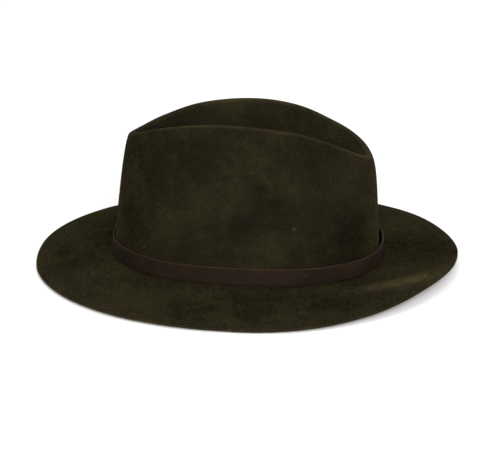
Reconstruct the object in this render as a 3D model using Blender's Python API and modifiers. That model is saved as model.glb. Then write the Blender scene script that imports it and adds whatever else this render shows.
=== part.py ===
"""A felt hat: a dented crown and a brim blocked from one piece of felt, with a leather band.

The front of the hat faces -Y, the wearer's left is +X, and the hat stands on z = 0 on its brim.
Angles go round the hat in degrees, from 0 at the front to 180 at the back. Each section of the
felt runs from the brim's edge up the crown, over the ridge and down to the bottom of the dent.
"""

from collections import namedtuple
import math

import bmesh
import bpy
from mathutils import Vector
from mathutils.geometry import interpolate_bezier

MM = 0.001
UP = Vector((0, 0, 1))

# Felt
FELT_THICKNESS = 2.2 * MM
BRIM_EDGE_THICKNESS = 2.5 * MM

# Head opening, inside the felt, where the crown meets the brim
HEAD_LENGTH = 201.0 * MM
HEAD_WIDTH = 170.0 * MM
HEAD_OVAL_POWER = 2.15
FOREHEAD_NARROWING = 0.04

# Brim
BRIM_LENGTH = 327.0 * MM
BRIM_WIDTH = 288.0 * MM
BRIM_WIDEST_Y = 12.5 * MM
BRIM_FRONT_POWER = 2.14
BRIM_BACK_POWER = 1.85
BRIM_BACK_LIFT = 7.7 * MM
BREAK_HEIGHT = 12.8 * MM
BREAK_FILLET = 3.0 * MM
EDGE_STRIP_WIDTH = 6.5 * MM
EDGE_STRIP_PUFF = 0.3 * MM

# Crown
CROWN_HEIGHT = 119.3 * MM
RIDGE_LENGTH = 183.0 * MM
RIDGE_SPACING = 73.6 * MM
RIDGE_MIDDLE_Y = 1.5 * MM
RIDGE_FOLD = 5.0 * MM
DENT_FLOOR_LENGTH = 144.0 * MM
DENT_FLOOR_MIDDLE_Y = -4.0 * MM
DENT_DEPTH = 26.0 * MM

# Leather band
BAND_HEIGHT = 13.0 * MM
BAND_THICKNESS = 1.6 * MM
BAND_CLEARANCE = 0.4 * MM
BAND_BACK_SLACK = 1.8 * MM
BAND_EDGE_ROUND = 0.35 * MM

# Sections of the brim. edge_lift is a share of BRIM_BACK_LIFT and break_height of BREAK_HEIGHT.
# The slopes are degrees above level, at the crown and at the edge.
BrimSection = namedtuple("BrimSection", "angle edge_lift break_height inner_slope outer_slope")
BRIM_SECTIONS = [
    BrimSection(0, 0.00, 0.70, -3, -11),
    BrimSection(30, 0.10, 0.80, -4, -12),
    BrimSection(60, 0.06, 0.94, -6, -13),
    BrimSection(90, 0.00, 1.00, -7, -13),
    BrimSection(120, 0.37, 0.83, 0, -13),
    BrimSection(150, 0.94, 0.60, 8, -8),
    BrimSection(180, 1.00, 0.49, 11, -5),
]

# Sections of the crown. ridge_drop is a share of CROWN_HEIGHT, dent of DENT_DEPTH, and spread is
# the ridge's width there as a share of an oval's. The other columns are degrees: how far the
# wall leans in, how steep the shoulder is below the ridge, and how steep the dent is beside it.
CrownSection = namedtuple("CrownSection", "angle lean shoulder dip spread ridge_drop dent")
CROWN_SECTIONS = [
    CrownSection(0.0, 4.5, 75, 22, 0.36, 0.139, 0.16),
    CrownSection(22.5, 5.0, 52, 32, 0.43, 0.120, 0.36),
    CrownSection(45.0, 5.0, 40, 40, 0.64, 0.062, 0.68),
    CrownSection(67.5, 5.0, 36, 46, 0.85, 0.010, 0.93),
    CrownSection(90.0, 5.0, 35, 48, 0.98, 0.002, 1.00),
    CrownSection(112.5, 5.0, 36, 46, 1.08, 0.041, 0.92),
    CrownSection(135.0, 4.5, 42, 42, 1.19, 0.134, 0.72),
    CrownSection(157.5, 4.0, 52, 38, 1.50, 0.222, 0.48),
    CrownSection(180.0, 4.0, 60, 35, 1.75, 0.272, 0.35),
]

# How finely the felt and the band are divided
SECTIONS_PER_SIDE = 42
BRIM_STEPS = 6
FILLET_STEPS = 3
WALL_STEPS = 7
FOLD_STEPS = 4
DENT_STEPS = 4
BAND_STEPS = 2


def section_at(sections, angle):
    """The section at any angle, on a smooth curve through the table's evenly spaced rows."""
    last = len(sections) - 1
    place = last * angle / sections[last].angle
    row = min(int(place), last - 1)
    t = place - row
    before = sections[abs(row - 1)]
    after = sections[last - abs(last - row - 2)]
    values = []
    for a, b, c, d in zip(before, sections[row], sections[row + 1], after):
        slope = (c - a) / 2
        next_slope = (d - b) / 2
        rise = c - b
        bend = 3 * rise - 2 * slope - next_slope
        twist = slope + next_slope - 2 * rise
        values.append(b + t * (slope + t * (bend + t * twist)))
    return type(sections[0])(*values)


def on_oval(angle, front, back, half_width, power):
    """A point at an angle on a superellipse whose front and back halves differ in length."""
    cosine = math.cos(math.radians(angle))
    sine = math.sin(math.radians(angle))
    radius = (abs(cosine) ** power + abs(sine) ** power) ** (-1 / power)
    reach = front if cosine > 0 else back
    return Vector((half_width * radius * sine, -reach * radius * cosine, 0))


def on_head_oval(angle, outset, back_slack=0.0):
    """A point on the head opening's oval, set out from the felt's inner face."""
    half_length = HEAD_LENGTH / 2 + outset
    half_width = HEAD_WIDTH / 2 + outset
    point = on_oval(angle, half_length, half_length + back_slack, half_width, HEAD_OVAL_POWER)
    point.x *= 1 - FOREHEAD_NARROWING * math.cos(math.radians(angle))
    return point


def brim_edge(angle):
    """A point on the top of the brim's edge."""
    half_length = BRIM_LENGTH / 2
    power = BRIM_FRONT_POWER if angle < 90 else BRIM_BACK_POWER
    front = half_length + BRIM_WIDEST_Y
    back = half_length - BRIM_WIDEST_Y
    point = on_oval(angle, front, back, BRIM_WIDTH / 2, power)
    point.y += BRIM_WIDEST_Y
    point.z = BRIM_EDGE_THICKNESS + section_at(BRIM_SECTIONS, angle).edge_lift * BRIM_BACK_LIFT
    return point


def break_corner(angle):
    """Where the brim and the crown's wall would meet without their fillet."""
    point = on_head_oval(angle, FELT_THICKNESS)
    point.z = section_at(BRIM_SECTIONS, angle).break_height * BREAK_HEIGHT
    return point


def ridge_point(angle):
    """A point on the crest of the ridge round the dent."""
    section = section_at(CROWN_SECTIONS, angle)
    turn = math.radians(angle)
    x = RIDGE_SPACING / 2 * section.spread * math.sin(turn)
    y = RIDGE_MIDDLE_Y - RIDGE_LENGTH / 2 * math.cos(turn)
    return Vector((x, y, CROWN_HEIGHT * (1 - section.ridge_drop)))


def dent_floor_point(angle):
    """A point on the bottom line of the dent, front end to back end."""
    even_share = angle / 180
    round_share = (1 - math.cos(math.radians(angle))) / 2
    y = DENT_FLOOR_MIDDLE_Y + DENT_FLOOR_LENGTH * ((even_share + round_share) / 2 - 0.5)
    depth = DENT_DEPTH * section_at(CROWN_SECTIONS, angle).dent
    return Vector((0, y, ridge_point(angle).z - depth))


def flat_direction(start, end):
    """The level direction from one point to another."""
    direction = end - start
    direction.z = 0
    return direction.normalized()


def sloped(level, degrees):
    """A level direction turned up by some degrees."""
    slope = math.radians(degrees)
    return level * math.cos(slope) + UP * math.sin(slope)


def curve(start, first_handle, second_handle, end, steps):
    """Points of a Bezier curve, one more than its steps."""
    return [Vector(p) for p in interpolate_bezier(start, first_handle, second_handle, end, steps + 1)]


def rounded_corner(start, corner, end, steps):
    """Points of the arc that rounds a corner off between two points beside it."""
    return curve(start, start.lerp(corner, 2 / 3), end.lerp(corner, 2 / 3), end, steps)


def wall_direction(angle):
    """The direction in which the crown's wall leaves the brim."""
    lean = section_at(CROWN_SECTIONS, angle).lean
    inward = flat_direction(brim_edge(angle), break_corner(angle))
    return sloped(inward, 90 - lean)


def brim_points(angle):
    """The felt's upper face from the brim's edge to the start of the fillet at the crown."""
    section = section_at(BRIM_SECTIONS, angle)
    edge = brim_edge(angle)
    outward = flat_direction(break_corner(angle), edge)
    inner = break_corner(angle) + sloped(outward, section.inner_slope) * BREAK_FILLET
    span = (edge - inner).length
    inner_handle = inner + sloped(outward, section.inner_slope) * span / 3
    outer_handle = edge - sloped(outward, section.outer_slope) * span / 3
    strip = EDGE_STRIP_WIDTH / span

    def on_brim(share):
        a = edge.lerp(outer_handle, share)
        b = outer_handle.lerp(inner_handle, share)
        c = inner_handle.lerp(inner, share)
        return a.lerp(b, share).lerp(b.lerp(c, share), share)

    points = [on_brim(0), on_brim(strip / 2) + UP * EDGE_STRIP_PUFF]
    for step in range(BRIM_STEPS + 1):
        points.append(on_brim(strip + (1 - strip) * step / BRIM_STEPS))
    return points


def crown_points(angle):
    """The felt's outer face from the top of the fillet at the brim to the dent's bottom line."""
    section = section_at(CROWN_SECTIONS, angle)
    corner = break_corner(angle)
    ridge = ridge_point(angle)
    floor = dent_floor_point(angle)
    outward = flat_direction(ridge, corner)
    inward = flat_direction(ridge, floor)
    steepness = math.sin(math.radians(section.shoulder)) + math.sin(math.radians(section.dip))
    crest = ridge + UP * RIDGE_FOLD * steepness / 4
    shoulder = crest + sloped(outward, -section.shoulder) * RIDGE_FOLD
    dent_top = crest + sloped(inward, -section.dip) * RIDGE_FOLD
    base = corner + wall_direction(angle) * BREAK_FILLET
    rise = shoulder.z - base.z
    reach = math.hypot(corner.x - ridge.x, corner.y - ridge.y)
    wall = curve(
        base,
        base + wall_direction(angle) * 0.6 * rise,
        shoulder + sloped(outward, -section.shoulder) * 0.8 * reach,
        shoulder,
        WALL_STEPS,
    )
    fold = rounded_corner(shoulder, crest, dent_top, FOLD_STEPS)
    width = math.hypot(dent_top.x - floor.x, dent_top.y - floor.y)
    dent = curve(
        dent_top,
        dent_top + sloped(inward, -section.dip) * 0.35 * width,
        floor - inward * 0.5 * width,
        floor,
        DENT_STEPS,
    )
    return wall + fold[1:] + dent[1:]


def felt_section(angle):
    """The felt's outer face at one angle, from the brim's edge to the dent's bottom line."""
    brim = brim_points(angle)
    crown = crown_points(angle)
    fillet = rounded_corner(brim[-1], break_corner(angle), crown[0], FILLET_STEPS)
    return brim + fillet[1:-1] + crown


def band_section(angle):
    """The band's outer face at one angle, from its lower edge to its upper edge."""
    outset = FELT_THICKNESS + BAND_CLEARANCE + BAND_THICKNESS
    foot = on_head_oval(angle, outset, BAND_BACK_SLACK)
    foot.z = break_corner(angle).z
    direction = wall_direction(angle)
    seat = BREAK_FILLET / 2
    points = []
    for step in range(BAND_STEPS + 1):
        points.append(foot + direction * (seat + BAND_HEIGHT * step / BAND_STEPS))
    return points


def half_surface(name, section):
    """A grid of faces on the +X side, whose rows are the sections from the front to the back."""
    rows = []
    for row in range(SECTIONS_PER_SIDE + 1):
        rows.append(section(180 * row / SECTIONS_PER_SIDE))
    columns = len(rows[0]) - 1
    shape = bmesh.new()
    bmesh.ops.create_grid(shape, x_segments=SECTIONS_PER_SIDE, y_segments=columns, size=0.5)
    for vertex in shape.verts:
        row = round((vertex.co.x + 0.5) * SECTIONS_PER_SIDE)
        column = round((vertex.co.y + 0.5) * columns)
        vertex.co = rows[row][column]
        if row in (0, SECTIONS_PER_SIDE):
            vertex.co.x = 0
    mesh = bpy.data.meshes.new(name)
    shape.to_mesh(mesh)
    shape.free()
    mesh.shade_smooth()
    return bpy.data.objects.new(name, mesh)


def add_mirror(piece):
    mirror = piece.modifiers.new("Other side", "MIRROR")
    mirror.use_axis = (True, False, False)
    mirror.merge_threshold = 0.0001


def add_thickness(piece, thickness):
    """Thickens a surface inwards and keeps its outer face where it is."""
    solidify = piece.modifiers.new("Thickness", "SOLIDIFY")
    solidify.thickness = thickness
    solidify.offset = -1
    solidify.use_even_offset = True
    return solidify


def material(name, colour, roughness, sheen=0.0):
    made = bpy.data.materials.new(name)
    made.use_nodes = True
    shader = made.node_tree.nodes["Principled BSDF"]
    shader.inputs["Base Color"].default_value = (*colour, 1)
    shader.inputs["Roughness"].default_value = roughness
    shader.inputs["Metallic"].default_value = 0.0
    shader.inputs["Sheen Weight"].default_value = sheen
    return made


def felt_body():
    """The crown and brim in one piece, a little thicker in the turned strip at the brim's edge."""
    piece = half_surface("felt_body", felt_section)
    strip = piece.vertex_groups.new(name="edge strip")
    for vertex in piece.data.vertices:
        level = Vector((vertex.co.x, vertex.co.y, 0))
        angle = math.degrees(math.atan2(level.x, -(level.y - BRIM_WIDEST_Y)))
        edge = brim_edge(min(max(angle, 0), 180))
        if math.hypot(edge.x - level.x, edge.y - level.y) < EDGE_STRIP_WIDTH * 0.75:
            strip.add([vertex.index], 1.0, "REPLACE")
    add_mirror(piece)
    solidify = add_thickness(piece, BRIM_EDGE_THICKNESS)
    solidify.vertex_group = strip.name
    solidify.thickness_vertex_group = FELT_THICKNESS / BRIM_EDGE_THICKNESS
    piece.data.materials.append(material("felt", (0.028, 0.025, 0.014), 0.95, 0.3))
    return piece


def hat_band():
    """The leather band round the foot of the crown, a little slack at the back."""
    piece = half_surface("hat_band", band_section)
    add_mirror(piece)
    add_thickness(piece, BAND_THICKNESS)
    bevel = piece.modifiers.new("Soft edges", "BEVEL")
    bevel.width = BAND_EDGE_ROUND
    bevel.segments = 1
    bevel.limit_method = "ANGLE"
    bevel.angle_limit = math.radians(60)
    piece.data.materials.append(material("band leather", (0.035, 0.014, 0.009), 0.55))
    return piece


def main():
    for old in list(bpy.data.objects):
        bpy.data.objects.remove(old)
    hat = bpy.data.collections.new("felt hat")
    bpy.context.scene.collection.children.link(hat)
    hat.objects.link(felt_body())
    hat.objects.link(hat_band())


main()
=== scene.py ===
import math

import bmesh
import bpy
import numpy as np
from mathutils import Matrix, Vector
from mathutils.bvhtree import BVHTree


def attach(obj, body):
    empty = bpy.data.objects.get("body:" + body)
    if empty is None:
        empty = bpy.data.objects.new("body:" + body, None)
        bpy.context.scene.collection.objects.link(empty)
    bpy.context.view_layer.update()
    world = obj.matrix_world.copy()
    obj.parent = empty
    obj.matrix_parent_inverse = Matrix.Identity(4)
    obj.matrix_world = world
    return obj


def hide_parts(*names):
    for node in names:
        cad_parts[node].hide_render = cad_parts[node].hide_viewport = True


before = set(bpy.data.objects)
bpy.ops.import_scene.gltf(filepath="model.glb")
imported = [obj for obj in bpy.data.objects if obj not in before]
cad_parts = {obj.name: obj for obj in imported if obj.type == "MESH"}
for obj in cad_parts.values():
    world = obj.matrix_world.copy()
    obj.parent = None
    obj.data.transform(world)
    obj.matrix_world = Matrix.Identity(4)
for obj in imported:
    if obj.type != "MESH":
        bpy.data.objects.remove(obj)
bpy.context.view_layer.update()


# Felt body
# The crown and the brim are one hood of felt, steamed and pulled over a block, dented by hand and
# brushed, so its surface keeps soft swells and a short nap that lies in patches. The brim's edge
# is turned and held by a row of stitches that sinks into the felt.
# Lengths are in metres. Turns are in degrees from the front towards the wearer's left.
WELD_DISTANCE = 0.00002
QUAD_FACE_ANGLE = 50
QUAD_SHAPE_ANGLE = 60
FELT_SMOOTHING_LEVELS = 2
FELT_SWELL_SIZE = 0.045
FELT_SWELL_HEIGHT = 0.0007
OUTLINE_STEPS = 240
ROLL_MIDDLE = 146
ROLL_SPREAD = 14
ROLL_INSET = 0.018
ROLL_SLANT = 0.0009
ROLL_WIDTH = 0.0075
ROLL_HEIGHT = 0.0024
ROLL_LIFT = 0.0012
ROLL_REACH = 0.03
FOLD_BLUR_ROUNDS = 2
FOLD_CLEAR_OF_EDGE = 0.012
FOLD_LEFT_AT_EDGE = 0.15
EDGE_STRIP_WIDTH = 0.0065


def linear(hex_colour):
    """An sRGB hex colour as the linear values that a shader takes."""
    values = []
    for start in (1, 3, 5):
        value = int(hex_colour[start:start + 2], 16) / 255
        values.append(value / 12.92 if value <= 0.04045 else ((value + 0.055) / 1.055) ** 2.4)
    return (*values, 1.0)


def add_node(tree, kind, links=None, **values):
    """Adds a shader node, sets its properties and input values, and links its inputs."""
    node = tree.nodes.new(kind)
    for name, value in values.items():
        if hasattr(node, name):
            setattr(node, name, value)
        else:
            node.inputs[name.replace("_", " ")].default_value = value
    for name, source in (links or {}).items():
        tree.links.new(source, node.inputs[name])
    return node


def deselect_all():
    """Leaves nothing selected, so that an operator acts on what is picked next alone."""
    if bpy.context.object and bpy.context.object.mode != "OBJECT":
        bpy.ops.object.mode_set(mode="OBJECT")
    bpy.ops.object.select_all(action="DESELECT")


def pick(piece):
    deselect_all()
    piece.select_set(True)
    bpy.context.view_layer.objects.active = piece


def welded_copy(node_name, name):
    """A copy of a CAD node with its loose triangles welded and joined back into quads."""
    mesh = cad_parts[node_name].data.copy()
    mesh.materials.clear()
    piece = bpy.data.objects.new(name, mesh)
    bpy.context.scene.collection.objects.link(piece)
    pick(piece)
    bpy.ops.object.mode_set(mode="EDIT")
    bpy.ops.mesh.select_all(action="SELECT")
    bpy.ops.mesh.remove_doubles(threshold=WELD_DISTANCE)
    bpy.ops.mesh.tris_convert_to_quads(
        face_threshold=math.radians(QUAD_FACE_ANGLE),
        shape_threshold=math.radians(QUAD_SHAPE_ANGLE),
    )
    bpy.ops.object.mode_set(mode="OBJECT")
    return piece


def apply_modifier(piece, kind, **settings):
    modifier = piece.modifiers.new(kind.title(), kind)
    for name, value in settings.items():
        setattr(modifier, name, value)
    pick(piece)
    bpy.ops.object.modifier_apply(modifier=modifier.name)


felt = welded_copy("felt_body", "hat_felt")
apply_modifier(felt, "SUBSURF", levels=FELT_SMOOTHING_LEVELS, render_levels=FELT_SMOOTHING_LEVELS)
bpy.ops.object.shade_smooth()

swells = bpy.data.textures.new("felt swells", "CLOUDS")
swells.cloud_type = "COLOR"
swells.noise_scale = FELT_SWELL_SIZE
swells.noise_depth = 1


def add_swells(piece):
    """Moves both faces of the wall together, so the felt keeps its thickness and the band its gap."""
    apply_modifier(
        piece,
        "DISPLACE",
        texture=swells,
        texture_coords="LOCAL",
        direction="RGB_TO_XYZ",
        strength=FELT_SWELL_HEIGHT,
        mid_level=0.5,
    )


add_swells(felt)


def brim_outline(piece, steps):
    """The outermost upper points of the brim, evenly spaced in angle about the hat's middle."""
    points = [vertex.co.copy() for vertex in piece.data.vertices]
    widest = {}
    for point in points:
        turn = math.atan2(point.y, point.x)
        slot = int((turn / (2 * math.pi) % 1.0) * steps)
        reach = math.hypot(point.x, point.y)
        if slot not in widest or reach > widest[slot][0]:
            widest[slot] = (reach, point)
    return [widest[slot][1] for slot in sorted(widest)]


outline = brim_outline(felt, OUTLINE_STEPS)


def edge_distance_attribute(piece, line):
    """Stores each point's level distance from the brim's edge, for its roll, its painted highlight and
    its groove.
    """
    corners = np.array([(p.x, p.y) for p in line])
    ends = np.roll(corners, -1, axis=0)
    spans = ends - corners
    lengths = (spans * spans).sum(axis=1)
    points = np.empty(len(piece.data.vertices) * 3)
    piece.data.vertices.foreach_get("co", points)
    level = points.reshape(-1, 3)[:, :2]
    nearest = np.full(len(level), 1.0)
    for corner, span, length in zip(corners, spans, lengths):
        away = level - corner
        share = np.clip((away @ span) / length, 0, 1)[:, None]
        nearest = np.minimum(nearest, np.linalg.norm(away - share * span, axis=1))
    attribute = piece.data.attributes.new("edge_distance", "FLOAT", "POINT")
    attribute.data.foreach_set("value", nearest.astype(np.float32))


edge_distance_attribute(felt, outline)


def shape_back_roll(piece):
    """Raises a soft roll inside the brim's edge at the wearer's left back, and stores a painted highlight
    along the upper face of its crest.
    """
    distances = piece.data.attributes["edge_distance"].data
    facing_up = [max(0.0, vertex.normal.z) for vertex in piece.data.vertices]
    roll_highlight_values = []
    for vertex in piece.data.vertices:
        away = distances[vertex.index].value
        turn = math.degrees(math.atan2(vertex.co.x, -vertex.co.y))
        place = math.exp(-((turn - ROLL_MIDDLE) / ROLL_SPREAD) ** 2)
        inset = ROLL_INSET + (ROLL_MIDDLE - turn) * ROLL_SLANT
        crest = math.exp(-((away - inset) / ROLL_WIDTH) ** 2)
        tail = math.exp(-(away / ROLL_REACH) ** 2)
        vertex.co.z += place * (ROLL_HEIGHT * crest + ROLL_LIFT * tail)
        # Only the crest's upper face keeps a painted highlight, stored for the felt's colour.
        roll_highlight_values.append(place * crest * facing_up[vertex.index])
    attribute = piece.data.attributes.new("painted_roll_highlight", "FLOAT", "POINT")
    attribute.data.foreach_set("value", roll_highlight_values)


shape_back_roll(felt)


def fold_attribute(piece):
    """Stores how sharply the surface folds outwards at each point: one over the fold's radius."""
    mesh = piece.data
    count = len(mesh.vertices)
    points = np.empty(count * 3)
    mesh.vertices.foreach_get("co", points)
    points = points.reshape(-1, 3)
    normals = np.empty(count * 3)
    mesh.vertex_normals.foreach_get("vector", normals)
    normals = normals.reshape(-1, 3)
    ends = np.empty(len(mesh.edges) * 2, dtype=np.int64)
    mesh.edges.foreach_get("vertices", ends)
    first, second = ends.reshape(-1, 2).T
    neighbours = np.bincount(first, minlength=count) + np.bincount(second, minlength=count)
    spans = points[second] - points[first]
    bends = ((normals[second] - normals[first]) * spans).sum(axis=1) / (spans * spans).sum(axis=1)
    fold = np.zeros(count)
    np.maximum.at(fold, first, bends)
    np.maximum.at(fold, second, bends)

    def spread(values):
        """Each point's value replaced by the mean of its neighbours' values."""
        total = np.bincount(first, weights=values[second], minlength=count)
        return (total + np.bincount(second, weights=values[first], minlength=count)) / neighbours

    for _ in range(FOLD_BLUR_ROUNDS):
        fold = spread(fold)
    # Near the brim's edge the value is cut down, so the painted highlight on folds stays faint there.
    distances = np.empty(count, dtype=np.float32)
    mesh.attributes["edge_distance"].data.foreach_get("value", distances)
    fold *= np.clip(distances / FOLD_CLEAR_OF_EDGE, FOLD_LEFT_AT_EDGE, 1.0)
    attribute = mesh.attributes.new("fold", "FLOAT", "POINT")
    attribute.data.foreach_set("value", fold.astype(np.float32))


fold_attribute(felt)


# The finish of the felt. A pattern's scale is how many times it repeats in a metre: patches of nap
# are about 40 mm across and brushed streaks 8 mm. The grain of 1 mm and the fibres, 0.8 mm wide,
# are coarser than real nap, because finer ones don't show at this size of picture.
SWEEP_RADIUS = 0.11
SWEEP_SOFTENING = 0.06
PATCH_SCALE = 26.0
STREAK_SCALE = 130.0
PATCH_SHARE = 0.6
NAP_DARKEST_AT = 0.37
NAP_LIGHTEST_AT = 0.63
GRAIN_SCALE = 1000.0
GRAIN_LOW = 0.3
GRAIN_HIGH = 0.7
GRAIN_DARK = 0.6
GRAIN_LIGHT = 1.4
FIBRE_SCALE = 240.0
FIBRE_WIDTH = 0.04
FIBRE_DARK = 0.92
FIBRE_LIGHT = 1.6
PATCH_RAGGEDNESS = 0.9
PATCH_FULL_WITHIN = 0.55
PATCH_GONE_BEYOND = 1.5
# Painted highlights along the brim's edge and on the sharp folds.
EDGE_HIGHLIGHT_WIDTH = 0.016
EDGE_HIGHLIGHT_SHADE = 1.25
FOLD_START = 70.0
FOLD_FULL = 220.0
FOLD_HIGHLIGHT_SHADE = 1.8
LINT_SCALE = 60.0
LINT_FULL_WITHIN = 0.02
LINT_GONE_BEYOND = 0.034
LINT_COLOUR = "#5f5838"
# Painted highlight on the roll's crest.
ROLL_HIGHLIGHT_SHADE = 2.5
# Painted shade in the stitching's groove.
GROOVE_WIDTH = 0.0011
GROOVE_FULL = 0.6
GROOVE_SHADE = 0.72
GRAIN_LIFT = 0.5
FIBRE_LIFT = 0.3
NAP_BUMP_STRENGTH = 0.7
NAP_BUMP_DEPTH = 0.0007
LEVEL_ONLY = (1, 1, 0)
UPRIGHT_ONLY = (0, 0, 1)


def along_the_sweep(tree, place):
    """Coordinates that stretch a pattern round the hat, the way that its nap is brushed."""
    level = add_node(tree, "ShaderNodeVectorMath", {0: place}, operation="MULTIPLY")
    level.inputs[1].default_value = LEVEL_ONLY
    reach = add_node(tree, "ShaderNodeVectorMath", {0: level.outputs[0]}, operation="LENGTH")
    softened = add_node(tree, "ShaderNodeMath", {0: reach.outputs["Value"]}, operation="ADD")
    softened.inputs[1].default_value = SWEEP_SOFTENING
    share = add_node(tree, "ShaderNodeMath", {1: softened.outputs[0]}, operation="DIVIDE")
    share.inputs[0].default_value = SWEEP_RADIUS
    turned = add_node(
        tree,
        "ShaderNodeVectorMath",
        {0: level.outputs[0], "Scale": share.outputs[0]},
        operation="SCALE",
    )
    upright = add_node(tree, "ShaderNodeVectorMath", {0: place}, operation="MULTIPLY")
    upright.inputs[1].default_value = UPRIGHT_ONLY
    swept = add_node(
        tree, "ShaderNodeVectorMath", {0: turned.outputs[0], 1: upright.outputs[0]}, operation="ADD"
    )
    return {"Vector": swept.outputs[0], "W": reach.outputs["Value"]}


def multiplied(tree, colour, factor):
    """A colour made darker or lighter by a factor."""
    made = add_node(
        tree, "ShaderNodeMix", {6: colour, 7: factor}, data_type="RGBA", blend_type="MULTIPLY"
    )
    made.inputs[0].default_value = 1.0
    return made.outputs[2]


def edge_highlight(tree):
    """A painted highlight along the brim, strongest at its very edge."""
    edge = add_node(tree, "ShaderNodeAttribute", attribute_name="edge_distance")
    edge_lit = add_node(
        tree,
        "ShaderNodeMapRange",
        {"Value": edge.outputs["Fac"]},
        interpolation_type="SMOOTHSTEP",
        From_Min=0.0,
        From_Max=EDGE_HIGHLIGHT_WIDTH,
        To_Min=EDGE_HIGHLIGHT_SHADE,
        To_Max=1.0,
    )
    return edge_lit.outputs[0]


# Patches, partly where the nap has been pressed or lifted by handling and partly painted light and shade
# for how the light falls on the hat: place, how far it reaches, and its shade.
NAP_AND_LIGHT_PATCHES = (
    ("crown, middle of the side", (0.087, 0.021, 0.077), 0.024, 0.64),
    ("crown, low at the back", (0.060, 0.080, 0.030), 0.042, 0.62),
    ("crown, low at the front", (0.030, -0.088, 0.036), 0.034, 0.78),
    ("crown, high at the front", (0.045, -0.080, 0.085), 0.046, 0.80),
    ("crown, high at the back", (0.062, 0.068, 0.080), 0.034, 1.30),
    # Painted light on the far wall of the dent.
    ("dent, wall on the far side", (-0.034, -0.020, 0.106), 0.055, 1.30),
    ("brim, front corner", (0.010, -0.131, 0.012), 0.034, 0.52),
    ("brim, front", (-0.022, -0.116, 0.013), 0.022, 0.68),
    ("brim, front edge", (0.062, -0.140, 0.010), 0.036, 1.25),
    ("brim, side edge towards the front", (0.108, -0.098, 0.005), 0.042, 1.22),
    ("brim, back", (0.000, 0.132, 0.016), 0.048, 0.54),
    ("brim, back corner", (0.050, 0.130, 0.013), 0.030, 0.80),
    ("brim, side", (0.114, 0.000, 0.006), 0.032, 0.68),
    ("brim, side towards the back", (0.106, 0.060, 0.007), 0.034, 0.78),
    ("brim, side towards the front", (0.112, -0.045, 0.006), 0.026, 0.84),
)


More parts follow.
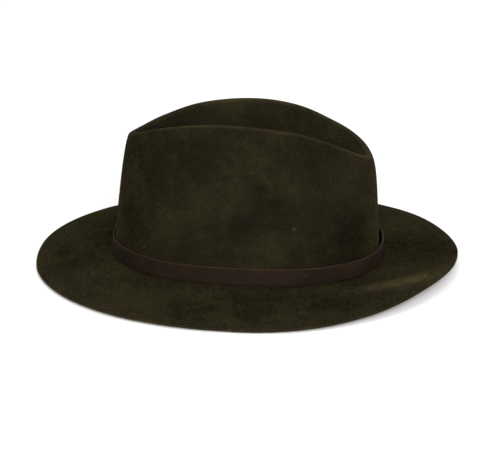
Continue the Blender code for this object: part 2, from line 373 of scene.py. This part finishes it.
def felt_material(name, dark, middle, light, nap):
    """Brushed wool felt: soft patches where the nap lies one way or another, a fine grain, and painted
    highlights and shade.
    """
    made = bpy.data.materials.new(name)
    made.use_nodes = True
    tree = made.node_tree
    tree.nodes.clear()
    place = add_node(tree, "ShaderNodeTexCoord").outputs["Object"]
    here = {"Vector": place}
    sweep = along_the_sweep(tree, place)

    # Nap: large patches and brushed streaks, mixed, choose between the felt's three shades.
    patches = add_node(
        tree, "ShaderNodeTexNoise", here, Scale=PATCH_SCALE, Detail=3.0, Roughness=0.5
    )
    brushed = add_node(
        tree,
        "ShaderNodeTexNoise",
        sweep,
        noise_dimensions="4D",
        Scale=STREAK_SCALE,
        Detail=5.0,
        Roughness=0.62,
    )
    mixed = add_node(
        tree,
        "ShaderNodeMix",
        {2: brushed.outputs["Fac"], 3: patches.outputs["Fac"]},
        data_type="FLOAT",
    )
    mixed.inputs[0].default_value = PATCH_SHARE
    ramp = add_node(tree, "ShaderNodeValToRGB", {"Fac": mixed.outputs[0]})
    ramp.color_ramp.elements[0].position = NAP_DARKEST_AT
    ramp.color_ramp.elements[0].color = linear(dark)
    ramp.color_ramp.elements[1].position = NAP_LIGHTEST_AT
    ramp.color_ramp.elements[1].color = linear(light)
    half = ramp.color_ramp.elements.new(0.5)
    half.color = linear(middle)

    # Grain and fibres: a fibre runs wherever its noise is close to its middle value.
    grain = add_node(
        tree, "ShaderNodeTexNoise", here, Scale=GRAIN_SCALE, Detail=3.0, Roughness=0.8
    )
    curls = add_node(
        tree,
        "ShaderNodeTexNoise",
        here,
        Scale=FIBRE_SCALE,
        Detail=3.0,
        Roughness=0.6,
        Distortion=2.0,
    )
    crossing = add_node(tree, "ShaderNodeMath", {0: curls.outputs["Fac"]}, operation="SUBTRACT")
    crossing.inputs[1].default_value = 0.5
    near = add_node(tree, "ShaderNodeMath", {0: crossing.outputs[0]}, operation="ABSOLUTE")
    fibre = add_node(
        tree,
        "ShaderNodeMapRange",
        {"Value": near.outputs[0]},
        From_Min=0.0,
        From_Max=FIBRE_WIDTH,
        To_Min=1.0,
        To_Max=0.0,
    )
    speck = add_node(
        tree,
        "ShaderNodeMapRange",
        {"Value": grain.outputs["Fac"]},
        From_Min=GRAIN_LOW,
        From_Max=GRAIN_HIGH,
        To_Min=GRAIN_DARK,
        To_Max=GRAIN_LIGHT,
    )
    colour = multiplied(tree, ramp.outputs["Color"], speck.outputs[0])
    strand = add_node(
        tree,
        "ShaderNodeMapRange",
        {"Value": fibre.outputs[0]},
        To_Min=FIBRE_DARK,
        To_Max=FIBRE_LIGHT,
    )
    colour = multiplied(tree, colour, strand.outputs[0])

    # Handling and painted light and shade: each placed patch has a ragged edge that follows the brushed
    # streaks.
    for _, middle_point, reach, shade in NAP_AND_LIGHT_PATCHES:
        gap = add_node(tree, "ShaderNodeVectorMath", {0: place}, operation="DISTANCE")
        gap.inputs[1].default_value = middle_point
        ragged = add_node(
            tree,
            "ShaderNodeMath",
            {0: brushed.outputs["Fac"], 2: gap.outputs["Value"]},
            operation="MULTIPLY_ADD",
        )
        ragged.inputs[1].default_value = reach * PATCH_RAGGEDNESS
        strength = add_node(
            tree,
            "ShaderNodeMapRange",
            {"Value": ragged.outputs[0]},
            interpolation_type="SMOOTHSTEP",
            From_Min=reach * PATCH_FULL_WITHIN,
            From_Max=reach * PATCH_GONE_BEYOND,
            To_Min=shade,
            To_Max=1.0,
        )
        colour = multiplied(tree, colour, strength.outputs[0])

    # Painted highlights along the brim's edge and on the sharp folds, where a sheen would catch the
    # light, and a few flecks of lint that cling.
    colour = multiplied(tree, colour, edge_highlight(tree))
    fold = add_node(tree, "ShaderNodeAttribute", attribute_name="fold")
    fold_highlight = add_node(
        tree,
        "ShaderNodeMapRange",
        {"Value": fold.outputs["Fac"]},
        From_Min=FOLD_START,
        From_Max=FOLD_FULL,
        To_Min=1.0,
        To_Max=FOLD_HIGHLIGHT_SHADE,
    )
    colour = multiplied(tree, colour, fold_highlight.outputs[0])
    lint = add_node(tree, "ShaderNodeTexVoronoi", here, Scale=LINT_SCALE)
    caught = add_node(
        tree,
        "ShaderNodeMapRange",
        {"Value": lint.outputs["Distance"]},
        From_Min=LINT_FULL_WITHIN,
        From_Max=LINT_GONE_BEYOND,
        To_Min=1.0,
        To_Max=0.0,
    )
    flecked = add_node(tree, "ShaderNodeMix", {0: caught.outputs[0], 6: colour}, data_type="RGBA")
    flecked.inputs[7].default_value = linear(LINT_COLOUR)
    # Painted highlight along the roll's crest, on its upper face.
    crest = add_node(tree, "ShaderNodeAttribute", attribute_name="painted_roll_highlight")
    roll_highlight = add_node(
        tree,
        "ShaderNodeMapRange",
        {"Value": crest.outputs["Fac"]},
        To_Min=1.0,
        To_Max=ROLL_HIGHLIGHT_SHADE,
    )
    colour = multiplied(tree, flecked.outputs[2], roll_highlight.outputs[0])

    # The groove that the stitching pulls into the felt, drawn as painted shade in its colour, fainter
    # where the nap covers it.
    edge = add_node(tree, "ShaderNodeAttribute", attribute_name="edge_distance")
    offset = add_node(tree, "ShaderNodeMath", {0: edge.outputs["Fac"]}, operation="SUBTRACT")
    offset.inputs[1].default_value = EDGE_STRIP_WIDTH
    apart = add_node(tree, "ShaderNodeMath", {0: offset.outputs[0]}, operation="ABSOLUTE")
    groove = add_node(
        tree,
        "ShaderNodeMapRange",
        {"Value": apart.outputs[0]},
        interpolation_type="SMOOTHSTEP",
        From_Min=0.0,
        From_Max=GROOVE_WIDTH,
        To_Min=1.0,
        To_Max=0.0,
    )
    faded = add_node(
        tree,
        "ShaderNodeMath",
        {0: groove.outputs[0], 1: patches.outputs["Fac"]},
        operation="MULTIPLY",
    )
    groove_painted_shade = add_node(
        tree,
        "ShaderNodeMapRange",
        {"Value": faded.outputs[0]},
        From_Min=0.0,
        From_Max=GROOVE_FULL,
        To_Min=1.0,
        To_Max=GROOVE_SHADE,
    )
    colour = multiplied(tree, colour, groove_painted_shade.outputs[0])

    # Relief: streaks, grain and fibres stand up, and the groove sinks.
    grained = add_node(
        tree,
        "ShaderNodeMath",
        {0: grain.outputs["Fac"], 2: brushed.outputs["Fac"]},
        operation="MULTIPLY_ADD",
    )
    grained.inputs[1].default_value = GRAIN_LIFT
    raised = add_node(
        tree,
        "ShaderNodeMath",
        {0: fibre.outputs[0], 2: grained.outputs[0]},
        operation="MULTIPLY_ADD",
    )
    raised.inputs[1].default_value = FIBRE_LIFT
    sunk = add_node(
        tree, "ShaderNodeMath", {0: raised.outputs[0], 1: groove.outputs[0]}, operation="SUBTRACT"
    )
    bump = add_node(
        tree,
        "ShaderNodeBump",
        {"Height": sunk.outputs[0]},
        Strength=NAP_BUMP_STRENGTH,
        Distance=NAP_BUMP_DEPTH,
    )
    shader = add_node(
        tree,
        "ShaderNodeBsdfPrincipled",
        {"Base Color": colour, "Normal": bump.outputs[0]},
        Roughness=0.95,
        Sheen_Weight=0.15,
        Sheen_Roughness=0.22,
        Sheen_Tint=linear(nap),
        Specular_IOR_Level=0.0,
    )
    add_node(tree, "ShaderNodeOutputMaterial", {"Surface": shader.outputs[0]})
    return made


felt.data.materials.append(felt_material("olive felt", "#16130c", "#1b180f", "#221f12", "#8d835a"))
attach(felt, "root")
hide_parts("felt_body")


# Edge stitching
# One row of lockstitch in thread of the felt's own colour holds the turned edge of the brim. Each
# stitch is about 3 mm long and pulled down into the felt, a short gap before the next.
STITCH_LENGTH = 0.0031
STITCH_PITCH = 0.0038
THREAD_RADIUS = 0.00024
THREAD_SUNK = 0.0002
THREAD_TWIST_SCALE = 2500.0
SEAM_SMOOTHING_ROUNDS = 6
CLEAR_OF_THE_HAT = 0.2


def inset_line(line, distance):
    """A closed line moved inwards, level, by a distance."""
    moved = []
    for index, point in enumerate(line):
        along = line[(index + 1) % len(line)] - line[index - 1]
        inwards = Vector((-along.y, along.x, 0)).normalized()
        moved.append(point + inwards * distance)
    return moved


def smoothed(line, rounds):
    """A closed line with its small steps evened out."""
    for _ in range(rounds):
        line = [(line[i - 1] + line[i] * 2 + line[(i + 1) % len(line)]) / 4 for i in range(len(line))]
    return line


def walked(line, pitch):
    """Points and directions at an even pitch along a closed line."""
    spans = [(line[(i + 1) % len(line)] - line[i]).length for i in range(len(line))]
    count = round(sum(spans) / pitch)
    step = sum(spans) / count
    places = []
    index = 0
    travelled = 0.0
    for number in range(count):
        target = number * step
        while travelled + spans[index] < target:
            travelled += spans[index]
            index += 1
        start = line[index]
        direction = line[(index + 1) % len(line)] - start
        places.append((start + direction * ((target - travelled) / spans[index]), direction.normalized()))
    return places


def hat_surface(piece):
    """A piece's surface, to find where a straight line first meets it."""
    shape = bmesh.new()
    shape.from_mesh(piece.data)
    tree = BVHTree.FromBMesh(shape)
    shape.free()
    return tree


surface = hat_surface(felt)
seam = inset_line(smoothed(outline, SEAM_SMOOTHING_ROUNDS), EDGE_STRIP_WIDTH)

deselect_all()
bpy.ops.mesh.primitive_uv_sphere_add(segments=8, ring_count=6, radius=THREAD_RADIUS)
stitch = bpy.context.object
stitch.name = "one_stitch"
bpy.ops.object.mode_set(mode="EDIT")
bpy.ops.mesh.select_all(action="SELECT")
bpy.ops.transform.resize(value=(STITCH_LENGTH / (2 * THREAD_RADIUS), 1, 1))
bpy.ops.object.mode_set(mode="OBJECT")

copies = []
for place, direction in walked(seam, STITCH_PITCH):
    over = Vector((place.x, place.y, CLEAR_OF_THE_HAT))
    hit, normal, _, _ = surface.ray_cast(over, Vector((0, 0, -1)))
    if hit is None:
        continue
    along = (direction - normal * direction.dot(normal)).normalized()
    across = normal.cross(along)
    turn = Matrix((along, across, normal)).transposed().to_4x4()
    copy = stitch.copy()
    copy.data = stitch.data.copy()
    copy.data.transform(Matrix.Translation(hit - normal * THREAD_SUNK) @ turn)
    bpy.context.scene.collection.objects.link(copy)
    copies.append(copy)
deselect_all()
for copy in copies:
    copy.select_set(True)
bpy.context.view_layer.objects.active = copies[0]
bpy.ops.object.join()
edge_stitches = bpy.context.object
edge_stitches.name = "edge_stitches"
bpy.ops.object.shade_smooth()
bpy.data.objects.remove(stitch)


def thread_material(name, colour):
    """Twisted polyester thread: matt, with its plies showing as a fine change of shade."""
    made = bpy.data.materials.new(name)
    made.use_nodes = True
    tree = made.node_tree
    tree.nodes.clear()
    place = add_node(tree, "ShaderNodeTexCoord").outputs["Object"]
    twist = add_node(
        tree, "ShaderNodeTexNoise", {"Vector": place}, Scale=THREAD_TWIST_SCALE, Detail=2.0
    )
    plies = add_node(
        tree, "ShaderNodeMapRange", {"Value": twist.outputs["Fac"]}, To_Min=0.7, To_Max=1.3
    )
    tinted = add_node(
        tree, "ShaderNodeMix", {7: plies.outputs[0]}, data_type="RGBA", blend_type="MULTIPLY"
    )
    tinted.inputs[0].default_value = 1.0
    tinted.inputs[6].default_value = linear(colour)
    shader = add_node(
        tree,
        "ShaderNodeBsdfPrincipled",
        {"Base Color": tinted.outputs[2]},
        Roughness=0.8,
        Specular_IOR_Level=0.1,
    )
    add_node(tree, "ShaderNodeOutputMaterial", {"Surface": shader.outputs[0]})
    return made


edge_stitches.data.materials.append(thread_material("olive thread", "#1c180e"))
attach(edge_stitches, "root")


# Leather band
# A strip of waxed cowhide 13 mm high, cut with raw edges and closed into a loop round the foot of
# the crown. Handling has pulled its colour lighter and redder in places, and the cut edge is tan.
BAND_SMOOTHING_LEVELS = 2
BAND_STEPS = 168
band = welded_copy("hat_band", "leather_band")
apply_modifier(band, "SUBSURF", levels=BAND_SMOOTHING_LEVELS, render_levels=BAND_SMOOTHING_LEVELS)
bpy.ops.object.shade_smooth()
add_swells(band)


def band_height_attribute(piece):
    """Stores how high each point lies on the band, from 0 at its lower edge to 1 at its upper edge."""
    steps = BAND_STEPS
    points = np.empty(len(piece.data.vertices) * 3)
    piece.data.vertices.foreach_get("co", points)
    points = points.reshape(-1, 3)
    slots = ((np.arctan2(points[:, 1], points[:, 0]) / (2 * np.pi) % 1.0) * steps).astype(int) % steps
    lowest = np.full(steps, 1.0)
    highest = np.full(steps, -1.0)
    np.minimum.at(lowest, slots, points[:, 2])
    np.maximum.at(highest, slots, points[:, 2])
    heights = (points[:, 2] - lowest[slots]) / (highest[slots] - lowest[slots])
    attribute = piece.data.attributes.new("band_height", "FLOAT", "POINT")
    attribute.data.foreach_set("value", heights.astype(np.float32))


band_height_attribute(band)


# Where the two tack stitches pull the leather in: place along the side, and share of the height.
TACK_PLACES = (
    ("towards the back", 0.043, 0.40),
    ("towards the front", -0.079, 0.45),
)
# How the painted marks round each tack are stretched, and how far the painted highlight sits above the
# thread.
TACK_MARK_STRETCH = Vector((0.7, 0.7, 1.6))
TACK_HIGHLIGHT_RISE = 0.0015
TOWARDS_THE_MIDDLE = Vector((-1, 0, 0))
LEVEL_STEP = 0.0001
LEVELS_TRIED = 400


def band_levels(surface_tree, along):
    """The lowest and highest level at which the band's outer face lies at a place along the side."""
    levels = []
    for step in range(LEVELS_TRIED):
        level = step * LEVEL_STEP
        outside = Vector((CLEAR_OF_THE_HAT, along, level))
        hit, _, _, _ = surface_tree.ray_cast(outside, TOWARDS_THE_MIDDLE)
        if hit is not None and hit.x > 0:
            levels.append(level)
    return min(levels), max(levels)


band_surface = hat_surface(band)
tack_places = []
for _, along, share in TACK_PLACES:
    bottom, top = band_levels(band_surface, along)
    outside = Vector((CLEAR_OF_THE_HAT, along, bottom + (top - bottom) * share))
    hit, normal, _, _ = band_surface.ray_cast(outside, TOWARDS_THE_MIDDLE)
    tack_places.append((hit, normal))


def near_point(tree, place, point, start, end, shade):
    """A painted highlight or shade close to a point on the band that fades to nothing, wider along it
    than up it.
    """
    away = add_node(tree, "ShaderNodeVectorMath", {0: place}, operation="SUBTRACT")
    away.inputs[1].default_value = point
    squashed = add_node(tree, "ShaderNodeVectorMath", {0: away.outputs[0]}, operation="MULTIPLY")
    squashed.inputs[1].default_value = TACK_MARK_STRETCH
    reach = add_node(tree, "ShaderNodeVectorMath", {0: squashed.outputs[0]}, operation="LENGTH")
    made = add_node(
        tree,
        "ShaderNodeMapRange",
        {"Value": reach.outputs["Value"]},
        interpolation_type="SMOOTHSTEP",
        From_Min=start,
        From_Max=end,
        To_Min=shade,
        To_Max=1.0,
    )
    return made.outputs[0]


# Where bending and handling have pulled the wax aside, so the leather shows redder.
RED_PLACES = (
    ("front bend", (0.014, -0.104, 0.020), 0.016),
    ("side towards the front", (0.070, -0.064, 0.014), 0.012),
    ("side towards the back", (0.066, 0.076, 0.022), 0.012),
    ("back bend", (0.030, 0.102, 0.018), 0.016),
)

# The finish of the leather. Waxed patches are about 26 mm across. The pebbled grain of 0.7 mm
# and the pores of 1.4 mm are drawn coarser than real ones, so that they show.
WAX_SCALE = 38.0
WAX_DARKEST_AT = 0.34
WAX_MIDDLE_AT = 0.52
WAX_REDDEST_AT = 0.7
RAW_EDGE_SCALE = 420.0
RAW_EDGE_WAVER = 0.1
RAW_EDGE_START = 0.97
RAW_EDGE_FULL = 1.03
RED_STRENGTH = 0.8
RED_FULL_WITHIN = 0.5
RED_GONE_BEYOND = 1.5
# Painted highlight above each tack and painted shade at its thread.
TACK_HIGHLIGHT_START = 0.0004
TACK_HIGHLIGHT_END = 0.0022
TACK_HIGHLIGHT_TONE = 1.5
TACK_SHADOW_START = 0.0006
TACK_SHADOW_END = 0.0019
TACK_SHADOW_TONE = 0.35
LEATHER_GRAIN_SCALE = 1400.0
LEATHER_PORE_SCALE = 700.0


def leather_material(name, dark, middle, red, raw, pulled):
    """Waxed leather with pulled-up patches, a fine grain, tan raw edges, and painted highlight and shade
    round each tack.
    """
    made = bpy.data.materials.new(name)
    made.use_nodes = True
    tree = made.node_tree
    tree.nodes.clear()
    place = add_node(tree, "ShaderNodeTexCoord").outputs["Object"]
    here = {"Vector": place}
    clouds = add_node(
        tree,
        "ShaderNodeTexNoise",
        here,
        Scale=WAX_SCALE,
        Detail=4.0,
        Roughness=0.6,
        Distortion=0.5,
    )
    ramp = add_node(tree, "ShaderNodeValToRGB", {"Fac": clouds.outputs["Fac"]})
    ramp.color_ramp.elements[0].position = WAX_DARKEST_AT
    ramp.color_ramp.elements[0].color = linear(dark)
    ramp.color_ramp.elements[1].position = WAX_REDDEST_AT
    ramp.color_ramp.elements[1].color = linear(red)
    half = ramp.color_ramp.elements.new(WAX_MIDDLE_AT)
    half.color = linear(middle)

    # The cut edge: raw leather begins at the band's top, along a slightly uneven line.
    height = add_node(tree, "ShaderNodeAttribute", attribute_name="band_height")
    wobble = add_node(tree, "ShaderNodeTexNoise", here, Scale=RAW_EDGE_SCALE, Detail=2.0)
    uneven = add_node(
        tree,
        "ShaderNodeMath",
        {0: wobble.outputs["Fac"], 2: height.outputs["Fac"]},
        operation="MULTIPLY_ADD",
    )
    uneven.inputs[1].default_value = RAW_EDGE_WAVER
    rim = add_node(
        tree,
        "ShaderNodeMapRange",
        {"Value": uneven.outputs[0]},
        interpolation_type="SMOOTHSTEP",
        From_Min=RAW_EDGE_START,
        From_Max=RAW_EDGE_FULL,
    )
    edged = add_node(
        tree, "ShaderNodeMix", {0: rim.outputs[0], 6: ramp.outputs["Color"]}, data_type="RGBA"
    )
    edged.inputs[7].default_value = linear(raw)
    colour = edged.outputs[2]

    for _, point, reach in RED_PLACES:
        away = add_node(tree, "ShaderNodeVectorMath", {0: place}, operation="DISTANCE")
        away.inputs[1].default_value = point
        ragged = add_node(
            tree,
            "ShaderNodeMath",
            {0: clouds.outputs["Fac"], 2: away.outputs["Value"]},
            operation="MULTIPLY_ADD",
        )
        ragged.inputs[1].default_value = reach
        mask = add_node(
            tree,
            "ShaderNodeMapRange",
            {"Value": ragged.outputs[0]},
            interpolation_type="SMOOTHSTEP",
            From_Min=reach * RED_FULL_WITHIN,
            From_Max=reach * RED_GONE_BEYOND,
            To_Min=RED_STRENGTH,
            To_Max=0.0,
        )
        warmed = add_node(tree, "ShaderNodeMix", {0: mask.outputs[0], 6: colour}, data_type="RGBA")
        warmed.inputs[7].default_value = linear(pulled)
        colour = warmed.outputs[2]

    # Round each tack, a painted highlight above, where the leather puckers, and painted shade at the
    # thread, where it sinks in.
    for point, _ in tack_places:
        highlight_point = point + Vector((0, 0, TACK_HIGHLIGHT_RISE))
        lighter = near_point(tree, place, highlight_point, TACK_HIGHLIGHT_START, TACK_HIGHLIGHT_END, TACK_HIGHLIGHT_TONE)
        colour = multiplied(tree, colour, lighter)
        darker = near_point(tree, place, point, TACK_SHADOW_START, TACK_SHADOW_END, TACK_SHADOW_TONE)
        colour = multiplied(tree, colour, darker)

    grain = add_node(tree, "ShaderNodeTexVoronoi", here, Scale=LEATHER_GRAIN_SCALE)
    pores = add_node(
        tree, "ShaderNodeTexNoise", here, Scale=LEATHER_PORE_SCALE, Detail=4.0, Roughness=0.65
    )
    relief = add_node(
        tree,
        "ShaderNodeMath",
        {0: grain.outputs["Distance"], 1: pores.outputs["Fac"]},
        operation="ADD",
    )
    bump = add_node(
        tree, "ShaderNodeBump", {"Height": relief.outputs[0]}, Strength=0.25, Distance=0.0002
    )
    wax = add_node(
        tree, "ShaderNodeMapRange", {"Value": clouds.outputs["Fac"]}, To_Min=0.55, To_Max=0.8
    )
    shader = add_node(
        tree,
        "ShaderNodeBsdfPrincipled",
        {"Base Color": colour, "Normal": bump.outputs[0], "Roughness": wax.outputs[0]},
        Specular_IOR_Level=0.04,
    )
    add_node(tree, "ShaderNodeOutputMaterial", {"Surface": shader.outputs[0]})
    return made


band.data.materials.append(
    leather_material("band leather", "#17110b", "#1b140e", "#20160f", "#2c2015", "#25160e")
)
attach(band, "root")
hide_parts("hat_band")


# Tack stitches
# Two short stitches of dark thread, one at each end of the side of the band, hold it to the felt.
# Each is a single thread pulled tight, a little under half-way up, with painted shade round it for its
# dimple and a painted highlight above.
TACK_LENGTH = 0.0042
TACK_RADIUS = 0.00055
TACK_SUNK = 0.00028

tacks = []
for hit, normal in tack_places:
    deselect_all()
    bpy.ops.mesh.primitive_uv_sphere_add(segments=12, ring_count=8, radius=TACK_RADIUS)
    tack = bpy.context.object
    bpy.ops.object.mode_set(mode="EDIT")
    bpy.ops.mesh.select_all(action="SELECT")
    bpy.ops.transform.resize(value=(TACK_LENGTH / (2 * TACK_RADIUS), 1, 1))
    bpy.ops.object.mode_set(mode="OBJECT")
    lie = Vector((0, 0, 1)).cross(normal).normalized()
    turn = Matrix((lie, normal.cross(lie), normal)).transposed().to_4x4()
    tack.data.transform(Matrix.Translation(hit - normal * TACK_SUNK) @ turn)
    tacks.append(tack)
deselect_all()
for tack in tacks:
    tack.select_set(True)
bpy.context.view_layer.objects.active = tacks[0]
bpy.ops.object.join()
band_tacks = bpy.context.object
band_tacks.name = "band_tacks"
bpy.ops.object.shade_smooth()
band_tacks.data.materials.append(thread_material("dark tack thread", "#0c0907"))
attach(band_tacks, "root")


# Studio
# A plain pale floor, a large soft light over the camera, and weaker ones overhead and behind.
FLOOR_SIZE = 60.0
PAPER_ROUGHNESS = 0.9
WORLD_STRENGTH = 0.72
deselect_all()
bpy.ops.mesh.primitive_plane_add(size=FLOOR_SIZE)
floor = bpy.context.object
floor.name = "floor"
# Uncoated paper, off-white and matt, so it takes a soft shadow and shows no shine.
paper = bpy.data.materials.new("pale paper")
paper.use_nodes = True
paper.node_tree.nodes["Principled BSDF"].inputs["Base Color"].default_value = linear("#faf9f8")
paper.node_tree.nodes["Principled BSDF"].inputs["Roughness"].default_value = PAPER_ROUGHNESS
floor.data.materials.append(paper)


def soft_light(name, place, aim, size, power):
    """A square softbox of a size in metres and a power in watts, turned to face the hat."""
    lamp = bpy.data.lights.new(name, "AREA")
    lamp.shape = "SQUARE"
    lamp.size = size
    lamp.energy = power
    holder = bpy.data.objects.new(name, lamp)
    holder.location = place
    holder.rotation_euler = (Vector(aim) - Vector(place)).to_track_quat("-Z", "Y").to_euler()
    bpy.context.scene.collection.objects.link(holder)


HAT_MIDDLE = (0.0, 0.0, 0.06)
soft_light("key softbox", (1.88, 0.35, 0.90), HAT_MIDDLE, 1.3, 50.0)
soft_light("overhead softbox", (-0.3, -0.2, 1.6), HAT_MIDDLE, 1.2, 5.0)
soft_light("fill softbox", (-1.8, 0.6, 0.9), HAT_MIDDLE, 1.3, 7.0)

world = bpy.data.worlds.new("studio")
world.use_nodes = True
world.node_tree.nodes["Background"].inputs["Color"].default_value = linear("#ffffff")
world.node_tree.nodes["Background"].inputs["Strength"].default_value = WORLD_STRENGTH
bpy.context.scene.world = world
bpy.context.scene.view_settings.view_transform = "Standard"


# Camera
# The photograph looks at the wearer's left side, level with the hat's middle and from a little
# above, through a long lens.
FRAME_WIDTH_PIXELS = 492
CAMERA_DISTANCE = 1.5
CAMERA_ELEVATION = math.radians(20.3)
CAMERA_ROLL = math.radians(0.35)
PIXELS_PER_METRE = 1300
HAT_CENTRE = Vector((0.0, 0.002, 0.0456))
AIM = Vector((0.0066, -0.001, 0.0279))
camera = bpy.data.cameras.new("camera")
camera.sensor_width = 36.0
camera.lens = camera.sensor_width * CAMERA_DISTANCE * PIXELS_PER_METRE / FRAME_WIDTH_PIXELS
camera_holder = bpy.data.objects.new("camera", camera)
bpy.context.scene.collection.objects.link(camera_holder)
backwards = Vector((math.cos(CAMERA_ELEVATION), 0, math.sin(CAMERA_ELEVATION)))
camera_holder.location = HAT_CENTRE + backwards * CAMERA_DISTANCE
upright = (camera_holder.location - AIM).to_track_quat("Z", "Y")
camera_holder.rotation_euler = (upright @ Matrix.Rotation(CAMERA_ROLL, 4, "Z").to_quaternion()).to_euler()
bpy.context.scene.camera = camera_holder
